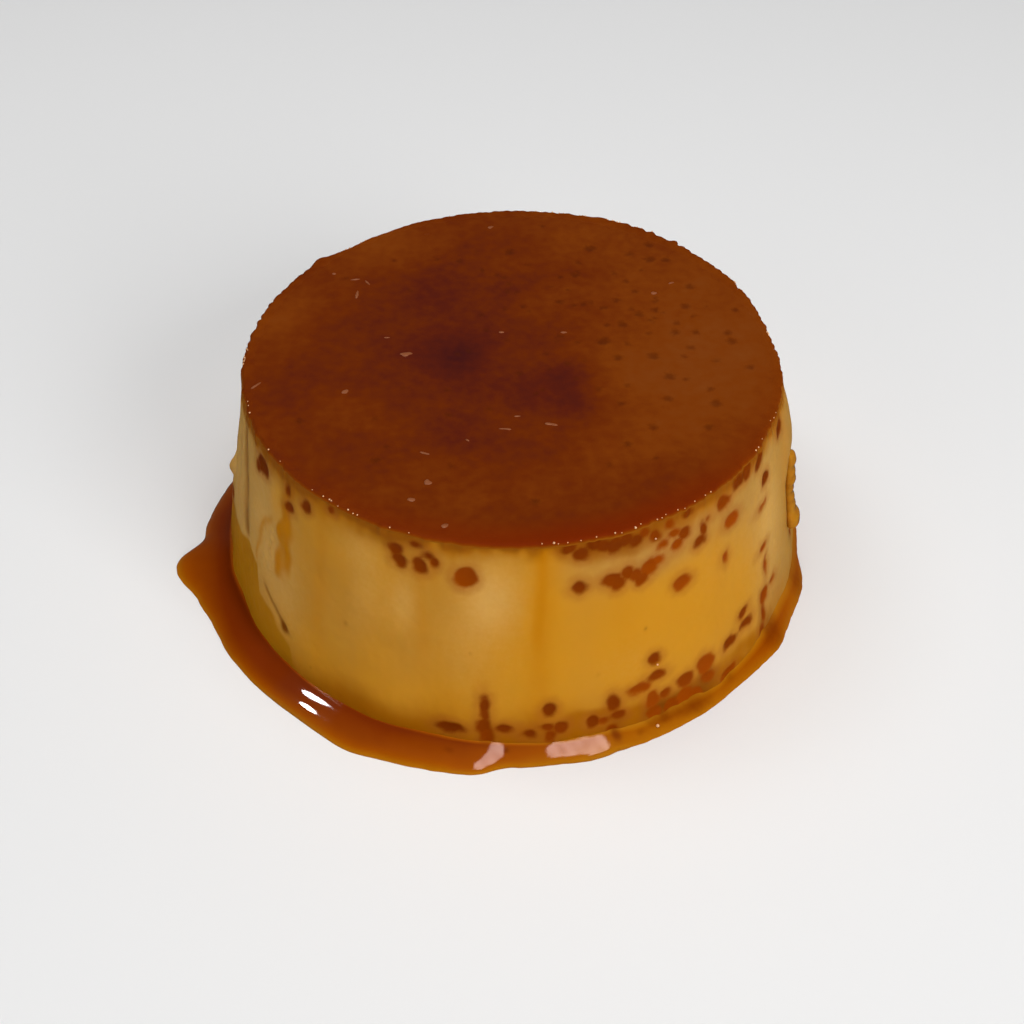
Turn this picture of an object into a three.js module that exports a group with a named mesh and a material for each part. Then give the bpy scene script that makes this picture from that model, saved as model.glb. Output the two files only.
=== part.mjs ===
// A creme caramel flan turned out of its mould: a tapered round of set custard, a skin of
// caramel on its top and a pool of caramel sauce round its foot.
// Millimetres, +Z up. The origin is the centre of the custard's flat underside, and -Y is its front.

import * as THREE from "three";

// Driving dimensions.
const TOP_RADIUS = 38; // at the rim of the flan
const BASE_RADIUS = 43.7; // where the custard stands
const HEIGHT = 34; // from the underside to the caramel's surface
const SKIN_THICKNESS = 1.1; // of the caramel on the top
const RIM_ROUND = 0.9; // radius of the upper edge
const POOL_DEPTH = 1.7; // of the sauce, away from the wall
const POOL_CLIMB = 0.9; // how much higher the sauce stands against the wall
const POOL_CLIMB_LENGTH = 1.3; // the distance over which that climb dies away
const POOL_FULL_WIDTH = 3; // a pool narrower than this is shallower too
const POOL_LEAST_SHARE = 0.3; // of the full depth, where the pool is narrowest
const GAP = 0.3; // clearance between the sauce and the custard
const FLUTES = 22; // shallow ridges that the mould's side leaves in the custard
const FLUTE_DEPTH = 0.1; // at the foot; they fade out towards the rim

// Facets.
const FLAN_SEGMENTS = 96;
const WALL_STEPS = 8;
const RIM_STEPS = 4;
const POOL_SEGMENTS = 144;
const POOL_STEPS = 9;

// The rim is out of round: [degrees from +X, how far it stands out (mm)].
const RIM_SWELL = [
  [-180, 0.0],
  [-40, 0.0],
  [5, -0.5],
  [36, 0.4],
  [62, 0.9],
  [84, 0.3],
  [108, 0.0],
  [130, -0.5],
  [150, 0.1],
];

// The pool's outer edge: [degrees from +X, distance from the middle (mm)]. A tongue of sauce runs
// out on the left, and the pool is narrow on the right and behind.
const POOL_EDGE = [
  [-178, 47.8],
  [-171, 52.1],
  [-162, 49.3],
  [-150, 48.5],
  [-130, 48.2],
  [-118, 49.3],
  [-106, 48.4],
  [-88, 46.4],
  [-75, 46.6],
  [-60, 45.9],
  [-42, 45.5],
  [-31, 46.1],
  [-17, 45.6],
  [-4, 44.6],
  [12, 44.6],
  [32, 45.7],
  [60, 45.2],
  [95, 46.6],
  [130, 45.7],
  [160, 46.2],
];

const DEGREE = Math.PI / 180;

/** Goes smoothly round the circle through the listed values, level at each one (half a cosine). */
function around(list, angle) {
  const [first, firstValue] = list[0];
  const closed = [...list, [first + 360, firstValue]];
  const degrees = angle / DEGREE;
  const place = degrees < first ? degrees + 360 : degrees;
  const next = closed.findIndex(([at]) => at > place);
  const [fromAngle, from] = closed[next - 1];
  const [toAngle, to] = closed[next];
  const t = (place - fromAngle) / (toAngle - fromAngle);
  return THREE.MathUtils.lerp(from, to, (1 - Math.cos(Math.PI * t)) / 2);
}

/** Radius of the custard's wall: a straight taper, out of round at the rim and fluted at the foot. */
function wallRadius(angle, z) {
  const rise = z / HEIGHT;
  const swell = around(RIM_SWELL, angle) * rise;
  const flutes = FLUTE_DEPTH * (1 - rise) * Math.cos(FLUTES * angle);
  return THREE.MathUtils.lerp(BASE_RADIUS, TOP_RADIUS, rise) + swell + flutes;
}

/** Height of the sauce a share of the way out: rounded off at its edge, climbing at the wall. */
function poolHeight(share, width) {
  const fullness = THREE.MathUtils.lerp(POOL_LEAST_SHARE, 1, Math.min(1, width / POOL_FULL_WIDTH));
  const level = POOL_DEPTH * Math.sqrt(1 - share ** 3);
  const climb = POOL_CLIMB * Math.exp((-share * width) / POOL_CLIMB_LENGTH) * (1 - share ** 2);
  return fullness * (level + climb);
}

/** A lathe about Z whose points are then moved: place(angle, x, z) gives each [radius, height]. */
function turned(profile, segments, place) {
  const geometry = new THREE.LatheGeometry(profile, segments);
  const position = geometry.getAttribute("position");
  for (let i = 0; i < position.count; i++) {
    // The vertices go round the lathe column by column, and the last column repeats the first.
    const column = Math.floor(i / profile.length) % segments;
    const { x, y } = profile[i % profile.length];
    const angle = (column / segments - 0.5) * 2 * Math.PI;
    const [radius, height] = place(angle, x, y);
    position.setXYZ(i, radius * Math.cos(angle), radius * Math.sin(angle), height);
  }
  geometry.computeVertexNormals();
  return geometry;
}

/** The custard: flat underneath, a tapered wall, and flat where the caramel lies on it. */
function custardGeometry() {
  const top = HEIGHT - SKIN_THICKNESS;
  const profile = [new THREE.Vector2(0, 0)];
  for (let i = 0; i <= WALL_STEPS; i++) {
    profile.push(new THREE.Vector2(1, (top * i) / WALL_STEPS));
  }
  profile.push(new THREE.Vector2(0, top));
  return turned(profile, FLAN_SEGMENTS, (angle, share, z) => [share * wallRadius(angle, z), z]);
}

/** The caramel skin: a thin round of the same outline with a rounded upper edge. */
function caramelTopGeometry() {
  const underside = HEIGHT - SKIN_THICKNESS;
  const profile = [new THREE.Vector2(0, underside), new THREE.Vector2(1, underside)];
  for (let i = 0; i <= RIM_STEPS; i++) {
    const turn = ((i / RIM_STEPS) * Math.PI) / 2;
    const inset = RIM_ROUND * (1 - Math.cos(turn));
    const drop = RIM_ROUND * (1 - Math.sin(turn));
    profile.push(new THREE.Vector2(1 - inset / TOP_RADIUS, HEIGHT - drop));
  }
  profile.push(new THREE.Vector2(0, HEIGHT));
  return turned(profile, FLAN_SEGMENTS, (angle, share, z) => [share * wallRadius(angle, z), z]);
}

/** The pool: a ring of sauce from just off the custard's wall, thinning to a rounded edge. */
function caramelPoolGeometry() {
  // x is the share of the way out, and y is 1 on the sauce's surface and 0 underneath.
  const profile = [new THREE.Vector2(0, 0), new THREE.Vector2(1, 0)];
  for (let i = POOL_STEPS - 1; i >= 0; i--) {
    profile.push(new THREE.Vector2(Math.sin(((i / POOL_STEPS) * Math.PI) / 2), 1));
  }
  profile.push(new THREE.Vector2(0, 0));
  return turned(profile, POOL_SEGMENTS, (angle, share, surface) => {
    const outer = around(POOL_EDGE, angle);
    const width = outer - wallRadius(angle, 0) - GAP;
    const height = surface * poolHeight(share, width);
    return [THREE.MathUtils.lerp(wallRadius(angle, height) + GAP, outer, share), height];
  });
}

function piece(name, geometry, colour, roughness) {
  const material = new THREE.MeshStandardMaterial({ color: colour, roughness, metalness: 0 });
  const mesh = new THREE.Mesh(geometry, material);
  mesh.name = name;
  return mesh;
}

const flan = new THREE.Group();
flan.add(piece("custard", custardGeometry(), 0xc4902f, 0.35));
flan.add(piece("caramel_top", caramelTopGeometry(), 0x6b2a08, 0.12));
flan.add(piece("caramel_pool", caramelPoolGeometry(), 0x8a3c05, 0.08));

export default flan;
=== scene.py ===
"""A creme caramel flan, turned out of its mould and standing in its own caramel.

Every visible surface is worked out here as numpy arrays, in millimetres in the frame of the CAD
model: +Z up, the front at -Y, the middle of the foot at the origin. A place on the round wall is
an angle from +X, turning anticlockwise, so the front is at -90 degrees, and a height.
"""

import bpy
import numpy as np
from mathutils import Matrix, Vector


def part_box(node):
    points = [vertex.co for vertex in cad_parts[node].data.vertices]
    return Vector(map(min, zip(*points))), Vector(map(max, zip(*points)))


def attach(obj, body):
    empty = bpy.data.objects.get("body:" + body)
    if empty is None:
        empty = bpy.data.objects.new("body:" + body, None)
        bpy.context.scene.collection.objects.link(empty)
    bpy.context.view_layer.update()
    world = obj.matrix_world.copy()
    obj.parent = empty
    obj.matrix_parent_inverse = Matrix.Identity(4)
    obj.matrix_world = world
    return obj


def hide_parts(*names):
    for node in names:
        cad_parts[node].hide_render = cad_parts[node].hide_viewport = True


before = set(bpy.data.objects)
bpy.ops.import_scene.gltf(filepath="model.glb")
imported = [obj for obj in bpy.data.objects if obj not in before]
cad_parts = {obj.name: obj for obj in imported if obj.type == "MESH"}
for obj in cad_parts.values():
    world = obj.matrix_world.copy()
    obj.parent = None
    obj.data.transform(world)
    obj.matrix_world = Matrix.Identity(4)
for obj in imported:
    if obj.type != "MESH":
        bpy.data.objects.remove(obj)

MM = 0.001
TURN = 2 * np.pi
ROUND = 40  # millimetres of wall to a radian, about halfway up
PROUD_ROUND = 41  # the same for what stands proud of the wall
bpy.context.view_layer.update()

CUSTARD_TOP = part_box("custard")[1].z / MM
FLAN_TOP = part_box("caramel_top")[1].z / MM


# --- Colours ---


def tint(red, green, blue):
    """A colour given as it shows on a screen (0 to 255), as the linear light that shaders take."""
    shown = np.array([red, green, blue]) / 255
    light = np.where(shown < 0.04045, shown / 12.92, ((shown + 0.055) / 1.055) ** 2.4)
    return (*light.tolist(), 1.0)


GOLD = tint(205, 140, 30)
TAN = tint(180, 132, 62)
PALE = tint(220, 169, 90)
OCHRE = tint(166, 98, 4)
RUN_AMBER = tint(196, 122, 0)
STAIN = tint(126, 66, 4)
HALO = tint(160, 86, 26)
WETTED = tint(180, 118, 14)
PIT_DARK = tint(120, 48, 0)
PIT_AMBER = tint(156, 68, 0)
SKIN_EDGE = tint(128, 56, 2)
RIM_AMBER = tint(150, 84, 10)

FLOOR_WHITE = (0.84, 0.84, 0.84, 1.0)

# Scales of colour from 0 to 1: position, then red, green and blue. The caramel's greyish tan
# at 1.0 is a painted sheen.
SKIN_TONES_AND_SHEEN = [
    (0.0, 66, 20, 18), (0.28, 88, 28, 12), (0.5, 106, 40, 3), (0.72, 121, 54, 5),
    (1.0, 125, 63, 18),
]
SAUCE_SHADES = [
    (0.0, 176, 112, 18), (0.14, 168, 98, 6), (0.32, 152, 73, 0), (0.56, 116, 41, 0),
    (0.9, 84, 24, 0),
]
SAUCE_FULL = 3.2  # millimetres of sauce at the end of its scale


# --- Shapes as arrays ---


def step(low, high, value):
    """0 below low, 1 above high, and 3t^2 - 2t^3 of the share t in between."""
    t = np.clip((value - low) / (high - low), 0, 1)
    return t * t * (3 - 2 * t)


def hill(distance, reach):
    """1 in the middle, falling as exp(-(distance / reach)^2)."""
    return np.exp(-((distance / reach) ** 2))


def off(angle, degrees):
    """How far an angle lies from the given degrees, the short way round, in radians."""
    return (angle - np.radians(degrees) + np.pi) % TURN - np.pi


def ripple(points, grain, seed, waves=24):
    """Smooth random relief of spread 1: sine waves that cross in random directions.

    Each wave is 0.7 to 1.5 times as long as the grain, in the points' own unit.
    """
    rng = np.random.default_rng(seed)
    heading = rng.normal(size=(waves, points.shape[-1]))
    heading /= np.linalg.norm(heading, axis=1, keepdims=True)
    number = TURN / (grain * rng.uniform(0.7, 1.5, waves))
    phase = rng.uniform(0, TURN, waves)
    total = np.zeros(points.shape[:-1])
    for direction, k, start in zip(heading, number, phase):
        total += np.sin(points @ direction * k + start)
    return total * np.sqrt(2 / waves)


def round_about(radius, angle, height):
    """Points at a radius, an angle and a height."""
    return np.stack(np.broadcast_arrays(radius * np.cos(angle), radius * np.sin(angle), height), -1)


def cad_outline(node, level):
    """A node's radius at one level as a function of the angle: a Fourier series through its
    outermost corners there, which are evenly spaced.
    """
    corners = np.array([vertex.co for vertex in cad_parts[node].data.vertices]) / MM
    corners = corners[np.abs(corners[:, 2] - level) < 0.01]
    radius = np.hypot(corners[:, 0], corners[:, 1])
    tenths = np.round(np.degrees(np.arctan2(corners[:, 1], corners[:, 0])) * 10) % 3600
    angles = np.unique(tenths[radius > 1])
    outermost = np.array([radius[tenths == at].max() for at in angles])
    parts = np.fft.rfft(outermost) / len(outermost)
    first = np.radians(angles[0] / 10)

    def radius_at(angle):
        total = np.full(np.shape(angle), parts[0].real)
        for k, part in enumerate(parts[1:], start=1):
            total = total + 2 * (part * np.exp(1j * k * (angle - first))).real
        return total

    return radius_at


foot_outline = cad_outline("custard", 0)
shoulder_outline = cad_outline("custard", CUSTARD_TOP)
pool_outline = cad_outline("caramel_pool", 0)


def wall_radius(angle, height):
    """The custard's plain wall: a straight taper from the foot's outline to the shoulder's."""
    rise = height / CUSTARD_TOP
    return foot_outline(angle) * (1 - rise) + shoulder_outline(angle) * rise


# --- Meshes ---


def ring_faces(rows, columns, closed=False):
    """Faces of a grid of rows that each go round. A closed grid joins its last row to its first."""
    index = np.arange(rows * columns).reshape(rows, columns)
    lower = index if closed else index[:-1]
    upper = np.roll(index, -1, axis=0) if closed else index[1:]
    around = [lower, np.roll(lower, -1, axis=1), np.roll(upper, -1, axis=1), upper]
    return np.stack(around, -1).reshape(-1, 4)


def fan_faces(loop, centre, upwards):
    """Triangles from a loop that goes round anticlockwise to a point in its middle."""
    ahead = np.roll(loop, -1)
    middle = np.full_like(loop, centre)
    return np.stack([middle, loop, ahead] if upwards else [middle, ahead, loop], -1)


def drum(points, fields=None):
    """A closed shape from rows that go round, lowest first: a fan closes each end at its middle."""
    rows, columns, _ = points.shape
    count = rows * columns
    ends = np.stack([points[0].mean(axis=0), points[-1].mean(axis=0)])
    index = np.arange(count).reshape(rows, columns)
    faces = [
        ring_faces(rows, columns),
        fan_faces(index[0], count, upwards=False),
        fan_faces(index[-1], count + 1, upwards=True),
    ]
    spread = {
        name: np.append(values.reshape(-1), [values[0].mean(), values[-1].mean()])
        for name, values in (fields or {}).items()
    }
    return np.concatenate([points.reshape(-1, 3), ends]), faces, spread


def joined(shapes):
    """Several shapes (points, faces, fields) as one."""
    starts = np.cumsum([0] + [len(points) for points, _, _ in shapes])
    points = np.concatenate([shape[0] for shape in shapes])
    faces = [part + start for shape, start in zip(shapes, starts) for part in shape[1]]
    names = shapes[0][2]
    fields = {name: np.concatenate([shape[2][name] for shape in shapes]) for name in names}
    return points, faces, fields


def make_piece(name, shape, material, replaces=()):
    """A smooth mesh object in metres, with its fields as point attributes, riding on the root."""
    points, faces, fields = shape
    mesh = bpy.data.meshes.new(name)
    mesh.from_pydata((points * MM).tolist(), [], [f for part in faces for f in part.tolist()])
    mesh.polygons.foreach_set("use_smooth", np.ones(len(mesh.polygons), dtype=bool))
    for field, values in fields.items():
        attribute = mesh.attributes.new(field, "FLOAT", "POINT")
        attribute.data.foreach_set("value", np.ascontiguousarray(values, dtype=np.float32))
    mesh.materials.append(material)
    mesh.validate()
    piece = bpy.data.objects.new(name, mesh)
    bpy.context.scene.collection.objects.link(piece)
    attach(piece, "root")
    if replaces:
        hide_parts(*replaces)


# --- Materials ---


class Wire:
    """A number carried by a node's output. Arithmetic on it adds Math nodes to its tree."""

    def __init__(self, recipe, socket):
        self.recipe = recipe
        self.socket = socket

    def _math(self, operation, *values):
        return self.recipe.add("ShaderNodeMath", {"operation": operation}, dict(enumerate(values)))

    def __add__(self, other):
        return self._math("ADD", self, other)

    def __sub__(self, other):
        return self._math("SUBTRACT", self, other)

    def __rsub__(self, other):
        return self._math("SUBTRACT", other, self)

    def __mul__(self, other):
        return self._math("MULTIPLY", self, other)

    __radd__ = __add__
    __rmul__ = __mul__


class Recipe:
    """A material under construction, and the few ways that nodes are added to it."""

    def __init__(self, name):
        self.material = bpy.data.materials.new(name)
        self.material.use_nodes = True
        self.tree = self.material.node_tree
        self.tree.nodes.clear()

    def add(self, kind, settings=None, sockets=None, output=0):
        """A node with its settings, its sockets' values or links, and the output that is used."""
        node = self.tree.nodes.new(kind)
        for key, value in (settings or {}).items():
            if key == "stops":
                self._set_stops(node.color_ramp, value)
            else:
                setattr(node, key, value)
        for key, value in (sockets or {}).items():
            if isinstance(value, Wire):
                self.tree.links.new(value.socket, node.inputs[key])
            else:
                node.inputs[key].default_value = value
        return Wire(self, node.outputs[output]) if node.outputs else None

    @staticmethod
    def _set_stops(ramp, stops):
        for _ in range(len(stops) - 2):
            ramp.elements.new(0.5)
        for element, (position, *shown) in zip(ramp.elements, stops):
            element.position = position
            element.color = tint(*shown)

    def field(self, name):
        """A number stored at the mesh's points."""
        return self.add("ShaderNodeAttribute", {"attribute_name": name}, output="Fac")

    def grain(self, size, detail=2.0, stretch=(1, 1, 1)):
        """Cloudy noise from 0 to 1 with patches about as wide as the size (mm) over the stretch."""
        here = self.add("ShaderNodeTexCoord", output="Object")
        scale = tuple(share / MM for share in stretch)
        place = self.add("ShaderNodeMapping", sockets={"Vector": here, "Scale": scale})
        sockets = {"Vector": place, "Scale": 1 / size, "Detail": detail}
        return self.add("ShaderNodeTexNoise", sockets=sockets)

    def ease(self, value, low=0.0, high=1.0):
        """0 below low, 1 above high, smooth in between. A low above the high turns it over."""
        sockets = {"Value": value, "From Min": low, "From Max": high}
        return self.add("ShaderNodeMapRange", {"interpolation_type": "SMOOTHSTEP"}, sockets)

    def mix(self, share, first, second):
        """A colour that goes from the first to the second."""
        sockets = {"Factor": share, 6: first, 7: second}
        return self.add("ShaderNodeMix", {"data_type": "RGBA"}, sockets, output=2)

    def ramp(self, value, stops):
        """A colour read off a scale of stops: position, and the colour as tint takes it."""
        return self.add("ShaderNodeValToRGB", {"stops": stops}, {"Fac": value}, output="Color")

    def relief(self, height, depth):
        """A surface normal from a height that varies over the depth (mm)."""
        sockets = {"Height": height, "Distance": depth * MM}
        return self.add("ShaderNodeBump", sockets=sockets, output="Normal")

    def finish(self, **sockets):
        """The Principled surface, its sockets named with _ for a space, and the material."""
        named = {key.replace("_", " "): value for key, value in sockets.items()}
        surface = self.add("ShaderNodeBsdfPrincipled", sockets=named)
        self.add("ShaderNodeOutputMaterial", sockets={"Surface": surface})
        return self.material


def custard_finish():
    """Set egg custard: amber, softly clouded, stained by caramel, with syrup in its pits."""
    r = Recipe("set_custard")
    fine = r.grain(0.7) - 0.5
    soft = r.grain(2.4, stretch=(1, 1, 0.6)) - 0.5
    pit = r.field("pit") + fine * 0.3
    clouds = r.grain(8, 3.0, stretch=(1, 1, 0.3)) - 0.5
    # The gold and pale washes also carry a painted sheen on the far left and right flanks.
    colour = r.mix(r.ease(r.field("gold") + clouds * 0.35), TAN, GOLD)
    colour = r.mix(r.ease(r.field("pale") + fine * 0.2), colour, PALE)
    colour = r.mix(r.ease(r.field("deep") + soft * 0.2), colour, OCHRE)
    colour = r.mix(r.ease(r.field("run") + soft * 0.15), colour, RUN_AMBER)
    colour = r.mix(r.ease(r.field("wetted") + soft * 0.3, 0.1, 0.9), colour, WETTED)
    colour = r.mix(r.ease(pit, 1.5, 0.0) * 0.42, colour, HALO)
    colour = r.mix(r.ease(r.field("stain") + soft * 0.35, 0.05, 1.0), colour, STAIN)
    colour = r.mix(r.ease(r.field("skin") + soft * 0.3, 0.05, 0.95), colour, RIM_AMBER)
    pit_colour = r.mix(r.field("tone"), PIT_DARK, PIT_AMBER)
    colour = r.mix(r.ease(pit, 0.3, -0.42), colour, pit_colour)
    return r.finish(
        Base_Color=colour,
        Roughness=0.42 - 0.1 * r.grain(6),
        Subsurface_Weight=0.3,
        Subsurface_Radius=(1.0, 0.55, 0.2),
        Subsurface_Scale=0.0012,
        Specular_IOR_Level=0.02,
        Normal=r.relief(r.grain(1.3, 3.0), 0.04),
    )


def caramel_finish():
    """Dark caramel skin, wet, with darker clouds and a painted sheen; its side thins to amber."""
    r = Recipe("caramel_skin")
    side = r.field("side")
    dull = r.field("dull")
    mottle = (r.grain(6, 3.0) - 0.5) * 0.2 + (r.grain(1.6, 3.0) - 0.5) * 0.34
    colour = r.ramp(r.field("shade") + mottle, SKIN_TONES_AND_SHEEN)
    speck = r.ease(r.field("speck") + (r.grain(0.8) - 0.5) * 1.1, 0.5, -0.45)
    colour = r.mix(speck * 0.52, colour, tint(78, 28, 2))
    colour = r.mix(r.field("rim") + (r.grain(3) - 0.5) * 0.3, colour, tint(114, 34, 0))
    colour = r.mix(r.ease(side, 0.0, 0.6), colour, SKIN_EDGE)
    colour = r.mix(r.ease(side, 0.5, 1.0), colour, RIM_AMBER)
    return r.finish(
        Base_Color=colour,
        Roughness=0.2 + 0.1 * r.grain(7) + 0.4 * dull,
        Specular_IOR_Level=0.03,
        Coat_Weight=0.5 - 0.5 * dull,
        Coat_Roughness=0.08,
        Normal=r.relief(r.grain(0.8, 3.0) * (0.2 + dull), 0.06),
    )


def sauce_finish():
    """Caramel syrup: nearly opaque red-brown where it is deep, amber where it is thin."""
    r = Recipe("caramel_syrup")
    depth = r.field("depth") + (r.grain(5) - 0.5) * 0.3
    colour = r.ramp(depth * (1 / SAUCE_FULL), SAUCE_SHADES)
    stain = r.ease(r.field("stain") + (r.grain(1.5) - 0.5) * 0.4, 0.1, 1.0)
    colour = r.mix(stain * 0.85, colour, tint(116, 46, 0))
    return r.finish(
        Base_Color=colour,
        Roughness=0.5,
        Specular_IOR_Level=0.02,
        Coat_Weight=1 - r.field("dull"),
        Coat_Roughness=0.03,
        Normal=r.relief(r.grain(6), 0.004),
    )


def drip_finish():
    """Amber caramel that has run down the wall and set in lumps."""
    r = Recipe("amber_drip")
    colour = r.mix(r.grain(1.4), tint(196, 136, 34), tint(162, 96, 8))
    return r.finish(
        Base_Color=colour,
        Roughness=0.12,
        Subsurface_Weight=0.25,
        Subsurface_Radius=(1.0, 0.5, 0.15),
        Subsurface_Scale=0.0012,
        Specular_IOR_Level=0.3,
        Coat_Weight=0.4,
        Coat_Roughness=0.04,
    )


def fleck_finish():
    """A pale scrap of skin left by the mould, half soaked with caramel."""
    r = Recipe("pale_fleck")
    colour = r.mix(r.grain(0.8), tint(150, 92, 60), tint(120, 60, 26))
    return r.finish(Base_Color=colour, Roughness=0.4, Specular_IOR_Level=0.2)


def glint_bead_finish():
    """A small bead of syrup, painted pale all over as a glint."""
    r = Recipe("syrup_bead_painted_glint")
    colour = r.mix(r.grain(2), tint(240, 176, 116), tint(252, 208, 162))
    return r.finish(Base_Color=colour, Roughness=0.1, Coat_Weight=1.0, Coat_Roughness=0.02)


def floor_finish():
    """A plain pale table."""
    r = Recipe("pale_floor")
    return r.finish(Base_Color=FLOOR_WHITE, Roughness=0.9, Specular_IOR_Level=0.1)


# --- Pits in the custard ---

# Pits that air left: degrees, height of the middle, width, height, and how amber the syrup in
# them is, from 0 to 1.
PITS_ON_SHOW = [
    # High on the left.
    (-150.4, 30.3, 3.4, 2.8, 0), (-153, 29.2, 1.8, 1.6, 0.1), (-140, 31, 1.2, 2.2, 0.2),
    (-139.2, 28.7, 1.9, 1.7, 0.2), (-134.2, 30.9, 1.9, 2, 0.1), (-127.5, 32.8, 1.2, 1.2, 0.3),
    # The cluster left of the middle and the big one beside it.
    (-112.5, 30.9, 2.1, 1.9, 0.2), (-111.7, 29.4, 2.2, 1.9, 0.2), (-108.6, 32.5, 1.9, 1.2, 0.1),
    (-107.6, 29.3, 2.1, 2.3, 0.2), (-106, 31, 1.8, 1.3, 0.1), (-104.8, 30.2, 1.2, 1.4, 0.3),
    (-98.8, 28.7, 3.2, 3.1, 0.7),
    # The ragged row right under the rim.
    (-79.3, 33, 2, 1.5, 0.1), (-76.8, 31.9, 2.4, 1.9, 0.1), (-74.4, 33, 2.4, 1.8, 0),
    (-72.4, 32.4, 2, 1.9, 0.1), (-70.3, 32.2, 2.3, 2.2, 0.1), (-67.8, 32.6, 2, 2, 0.1),
    (-66, 31.9, 2.4, 1.9, 0.1), (-63.8, 32.6, 1.6, 1.4, 0.4), (-61.6, 31.6, 2, 1.6, 0.4),
    (-59.6, 29.8, 1.9, 1.4, 0.8), (-58.2, 32.4, 1.9, 1.3, 0.6), (-57.3, 30.8, 2, 1.2, 0.7),
    (-56.7, 28.8, 2, 1.8, 0.8), (-54.7, 30.1, 2.1, 1.8, 0.4), (-54, 32.8, 1.8, 1.3, 0.2),
    (-50.1, 29.2, 1.2, 2, 0.3), (-51.2, 27.6, 2, 1.8, 0.2), (-48.6, 30.2, 1.3, 1.1, 0.6),
    # The second row, run together.
    (-77.2, 26.7, 2.2, 2.1, 0.2), (-71, 27, 2.6, 2.1, 0.4), (-69.6, 26.1, 1.9, 2, 0.4),
    (-67.6, 27.4, 1.8, 1.8, 0.4), (-66, 26.7, 1.8, 2, 0.5), (-64.8, 25.8, 2, 1.8, 0.5),
    (-62.9, 27.2, 2.8, 2.2, 0.8), (-61.2, 27.6, 1.8, 1.6, 1), (-55.8, 22.5, 2.8, 2.3, 0.9),
    # On the right.
    (-44, 31, 2.4, 2.2, 0.5), (-42, 27.4, 3, 2.2, 1), (-38.6, 32.4, 3.2, 2, 0.1),
    (-35.6, 32.3, 2.2, 2.2, 0.2), (-30.7, 31.8, 2.2, 2.4, 0.1), (-27.6, 27.3, 2.3, 2.2, 0.1),
    (-18, 31.2, 2.6, 2.3, 0), (-30, 23.8, 2.2, 0.9, 0.9), (-44.4, 22, 1.2, 1.5, 0.9),
    (-31, 16.9, 2, 1.1, 0.8), (-29.8, 13.4, 1.2, 2.6, 0.9), (-31.4, 8.6, 2.2, 2.6, 0.7),
    (-27.6, 8.9, 1.8, 1, 0.7), (-32.4, 5.7, 1.4, 2.4, 0.5), (-33.4, 2.8, 1.3, 3, 0.4),
    # Low on the right.
    (-39.4, 9.9, 2.2, 1.6, 0.3), (-38.7, 7.5, 2.7, 1.6, 0.2), (-44.2, 7.1, 3, 1.8, 0.2),
    (-51.2, 6.6, 2.7, 3.2, 0.9), (-50.6, 4, 2.2, 1.8, 0.8), (-45.2, 2, 2.8, 1.6, 0.7),
    (-55.9, 5.7, 2.6, 2.2, 0.5), (-62.6, 11.7, 2, 2, 0.3), (-62.3, 8.7, 2.6, 1.8, 0.4),
    (-66, 7.6, 3, 1.7, 0.8), (-63.2, 4.8, 2, 2.6, 0.8), (-60.4, 5, 1.9, 1.3, 0.5),
    (-63, 2.4, 2.2, 2.2, 0.8), (-59, 2.2, 2.6, 2.4, 0.7), (-56.2, 2.6, 2.6, 3, 1),
    (-53.9, 1.6, 2.6, 3.2, 1), (-71, 6.3, 1.9, 2.9, 0.2), (-70.4, 4, 1.9, 1.5, 0.3),
    (-73, 3.6, 1.8, 1.1, 0.6), (-75.2, 3.8, 1.9, 2, 0.2), (-71.3, 1.6, 1.5, 2.2, 0.5),
    # Low in front.
    (-83.2, 7.2, 2, 2.3, 0.1), (-83.7, 4.4, 1.9, 1.2, 0.3), (-81, 4.1, 1.8, 2, 0.3),
    (-83, 2.6, 1.3, 2, 0.5), (-86.9, 3.1, 2, 1.5, 0.2), (-91.2, 4.2, 2.5, 1.4, 0.1),
    (-95, 8, 1.2, 3.3, 0.2), (-94.8, 6.2, 1.4, 3.2, 0.3), (-94.9, 4.6, 1.8, 3, 0.3),
    (-94.3, 2.8, 1.8, 2.8, 0.5), (-101, 3.7, 3.1, 1.9, 0),
]

HIDDEN_ARC = (-14.0, 196.0)  # degrees; the sides and the back, where pits fall at random
HIDDEN_CLUSTERS = 17
HIDDEN_SINGLES = 9
PIT_HALF = 0.56  # half a pit's size, a little over a half because its ragged edge eats into it
PIT_DEPTH = 0.17  # how deep it is, as a share of that


def hidden_pits(rng):
    """Pits for the far side: clusters high under the rim or low at the foot, and a few between."""
    pits = []
    for _ in range(HIDDEN_CLUSTERS):
        middle = rng.uniform(*HIDDEN_ARC)
        band = rng.choice([30.5, 27.0, 6.5, 3.5], p=[0.35, 0.15, 0.2, 0.3])
        for _ in range(rng.integers(2, 8)):
            size = rng.uniform(1.1, 2.6)
            height = np.clip(band + rng.normal(0, 1.3), 1.5, 31.6)
            degrees = middle + rng.normal(0, 4.0)
            pits.append((degrees, height, size, size * rng.uniform(0.8, 1.3), rng.uniform(0, 0.6)))
    for _ in range(HIDDEN_SINGLES):
        size = rng.uniform(0.9, 2.4)
        pits.append((rng.uniform(*HIDDEN_ARC), rng.uniform(9, 26), size, size * 1.15, 0.4))
    return pits


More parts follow.
